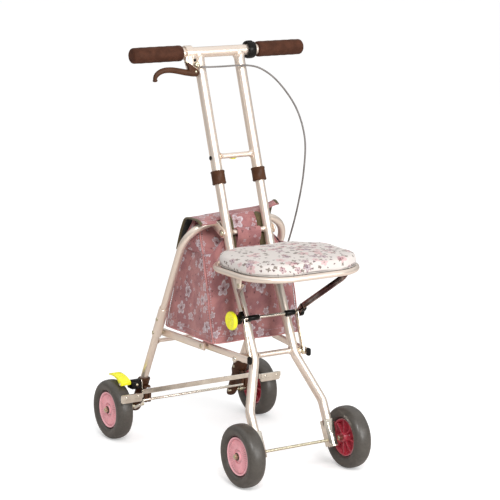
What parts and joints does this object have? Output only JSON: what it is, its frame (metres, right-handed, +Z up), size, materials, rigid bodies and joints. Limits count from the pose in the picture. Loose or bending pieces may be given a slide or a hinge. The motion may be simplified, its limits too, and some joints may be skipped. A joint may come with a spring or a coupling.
{
  "type": "shopping walker",
  "caption": "Folding four-wheeled walker with a height-adjustable handle, padded tip-up seat, cloth carry bag behind the front tubes, side braces and a hand brake.",
  "frame": {"origin": "on the floor below the middle of the bounding box", "axes": "+Z up, +X to the right as seen from the seat side, -Y is the side the seat faces, +Y is the side the person walks on"},
  "size_m": [0.404, 0.5778, 0.8444],
  "materials": {
    "champagne_paint": "satin metallic cream paint",
    "chrome": "bright plating",
    "zinc_steel": "zinc plated",
    "brown_plastic": "moulded, slight sheen",
    "brown_grip": "soft foam skin",
    "black_plastic": "moulded",
    "yellow_plastic": "moulded gloss",
    "grey_tyre": "soft matt tyre",
    "pink_hub": "moulded gloss",
    "rose_cloth": "woven print",
    "print_cloth": "printed cotton"
  },
  "bodies": {
    "main_frame": {"main_tube_left": "champagne_paint", "main_tube_right": "champagne_paint", "pivot_shaft": "champagne_paint", "lower_crossbar": "champagne_paint", "front_bracket_left": "chrome", "front_bracket_right": "chrome", "brace_ear_left": "chrome", "brace_ear_right": "chrome", "rod_clip_left": "black_plastic", "rod_clip_right": "black_plastic", "seat_saddle_left": "black_plastic", "seat_saddle_right": "black_plastic", "front_axle": "zinc_steel", "bag": "rose_cloth", "bag_lid": "rose_cloth", "bag_strap": "rose_cloth"},
    "rear_frame": {"rear_tube": "champagne_paint", "leg_sleeve_left": "chrome", "leg_sleeve_right": "chrome", "housing_left": "brown_plastic", "housing_right": "brown_plastic", "rear_axle_left": "zinc_steel", "rear_axle_right": "zinc_steel", "brake_tie_rod": "chrome", "pedal_bracket": "black_plastic"},
    "front_braces": {"front_brace_left": "champagne_paint", "front_brace_right": "champagne_paint", "brace_cap_left": "black_plastic", "brace_cap_right": "black_plastic"},
    "rear_braces": {"rear_brace_left": "champagne_paint", "rear_brace_right": "champagne_paint"},
    "seat": {"seat_ring": "champagne_paint", "seat_base": "black_plastic", "cushion": "print_cloth"},
    "struts": {"strut_frame": "chrome", "knuckle_left": "black_plastic", "knuckle_right": "black_plastic", "release_knob": "yellow_plastic"},
    "lower_links": {"lower_link_left": "chrome", "lower_link_right": "chrome"},
    "handle": {"handle_frame": "champagne_paint", "collar_left": "brown_plastic", "collar_right": "brown_plastic", "grip_left": "brown_grip", "grip_right": "brown_grip", "cane_ring": "brown_plastic", "lever_clamp": "brown_plastic", "brake_cable": "black_plastic"},
    "height_button": {"release_button": "yellow_plastic"},
    "lever": {"brake_lever": "brown_plastic"},
    "brake_press": {"brake_bar": "chrome"},
    "pedal": {"parking_pedal": "yellow_plastic"},
    "wheel_front_left": {"tyre_front_left": "grey_tyre", "hub_front_left": "pink_hub"},
    "wheel_front_right": {"tyre_front_right": "grey_tyre", "hub_front_right": "pink_hub"},
    "wheel_rear_left": {"tyre_rear_left": "grey_tyre", "hub_rear_left": "pink_hub"},
    "wheel_rear_right": {"tyre_rear_right": "grey_tyre", "hub_rear_right": "pink_hub"}
  },
  "joints": [
    {"name": "frame_fold", "type": "hinge", "parent": "main_frame", "child": "rear_frame", "pos_m": [0, -0.0269, 0.471], "axis": [-1, 0, 0], "range_deg": [0, 30]},
    {"name": "front_brace_turn", "type": "hinge", "parent": "main_frame", "child": "front_braces", "pos_m": [0, -0.1019, 0.228], "axis": [1, 0, 0], "range_deg": [-107.8, 0]},
    {"name": "rear_brace_turn", "type": "hinge", "parent": "rear_frame", "child": "rear_braces", "pos_m": [0, 0.1391, 0.24], "axis": [1, 0, 0], "range_deg": [0, 54.5]},
    {"name": "seat_tip", "type": "hinge", "parent": "main_frame", "child": "seat", "pos_m": [0, -0.0599, 0.421], "axis": [1, 0, 0], "range_deg": [-6.1, 0]},
    {"name": "strut_turn", "type": "hinge", "parent": "seat", "child": "struts", "pos_m": [0, -0.2029, 0.403], "axis": [1, 0, 0], "range_deg": [0, 13.1]},
    {"name": "lower_link_turn", "type": "hinge", "parent": "struts", "child": "lower_links", "pos_m": [0, -0.1114, 0.311], "axis": [1, 0, 0], "range_deg": [0, 22.4]},
    {"name": "handle_height", "type": "slide", "parent": "main_frame", "child": "handle", "axis": [0, 0.3091, 0.951], "range_m": [-0.055, 0.03], "deforming": ["brake_cable"]},
    {"name": "height_button_pull", "type": "slide", "parent": "handle", "child": "height_button", "axis": [0, 0, -1], "range_m": [0, 0.004], "stiffness_N_per_m": 200},
    {"name": "brake_lever_pull", "type": "hinge", "parent": "handle", "child": "lever", "pos_m": [-0.068, 0.0651, 0.79], "axis": [0, 1, 0], "range_deg": [0, 8], "stiffness_Nm_per_rad": 0.6},
    {"name": "brake_bar_press", "type": "slide", "parent": "rear_frame", "child": "brake_press", "axis": [0, 1, 0], "range_m": [0, 0.0095], "stiffness_N_per_m": 300},
    {"name": "pedal_turn", "type": "hinge", "parent": "rear_frame", "child": "pedal", "pos_m": [-0.17, 0.1901, 0.125], "axis": [1, 0, 0], "range_deg": [0, 20]},
    {"name": "spin_front_left", "type": "hinge", "parent": "main_frame", "child": "wheel_front_left", "pos_m": [-0.125, -0.2099, 0.0635], "axis": [1, 0, 0], "continuous": true},
    {"name": "spin_front_right", "type": "hinge", "parent": "main_frame", "child": "wheel_front_right", "pos_m": [0.125, -0.2099, 0.0635], "axis": [1, 0, 0], "continuous": true},
    {"name": "spin_rear_left", "type": "hinge", "parent": "rear_frame", "child": "wheel_rear_left", "pos_m": [-0.1804, 0.2254, 0.0635], "axis": [1, 0, 0], "continuous": true},
    {"name": "spin_rear_right", "type": "hinge", "parent": "rear_frame", "child": "wheel_rear_right", "pos_m": [0.1804, 0.2254, 0.0635], "axis": [1, 0, 0], "continuous": true}
  ],
  "couplings": [
    {"joint": "front_brace_turn", "follows": "frame_fold", "ratio": -3.5857},
    {"joint": "rear_brace_turn", "follows": "frame_fold", "ratio": 1.8097},
    {"joint": "seat_tip", "follows": "frame_fold", "ratio": -0.2},
    {"joint": "strut_turn", "follows": "frame_fold", "ratio": 0.4313},
    {"joint": "lower_link_turn", "follows": "frame_fold", "ratio": 0.7407}
  ]
}
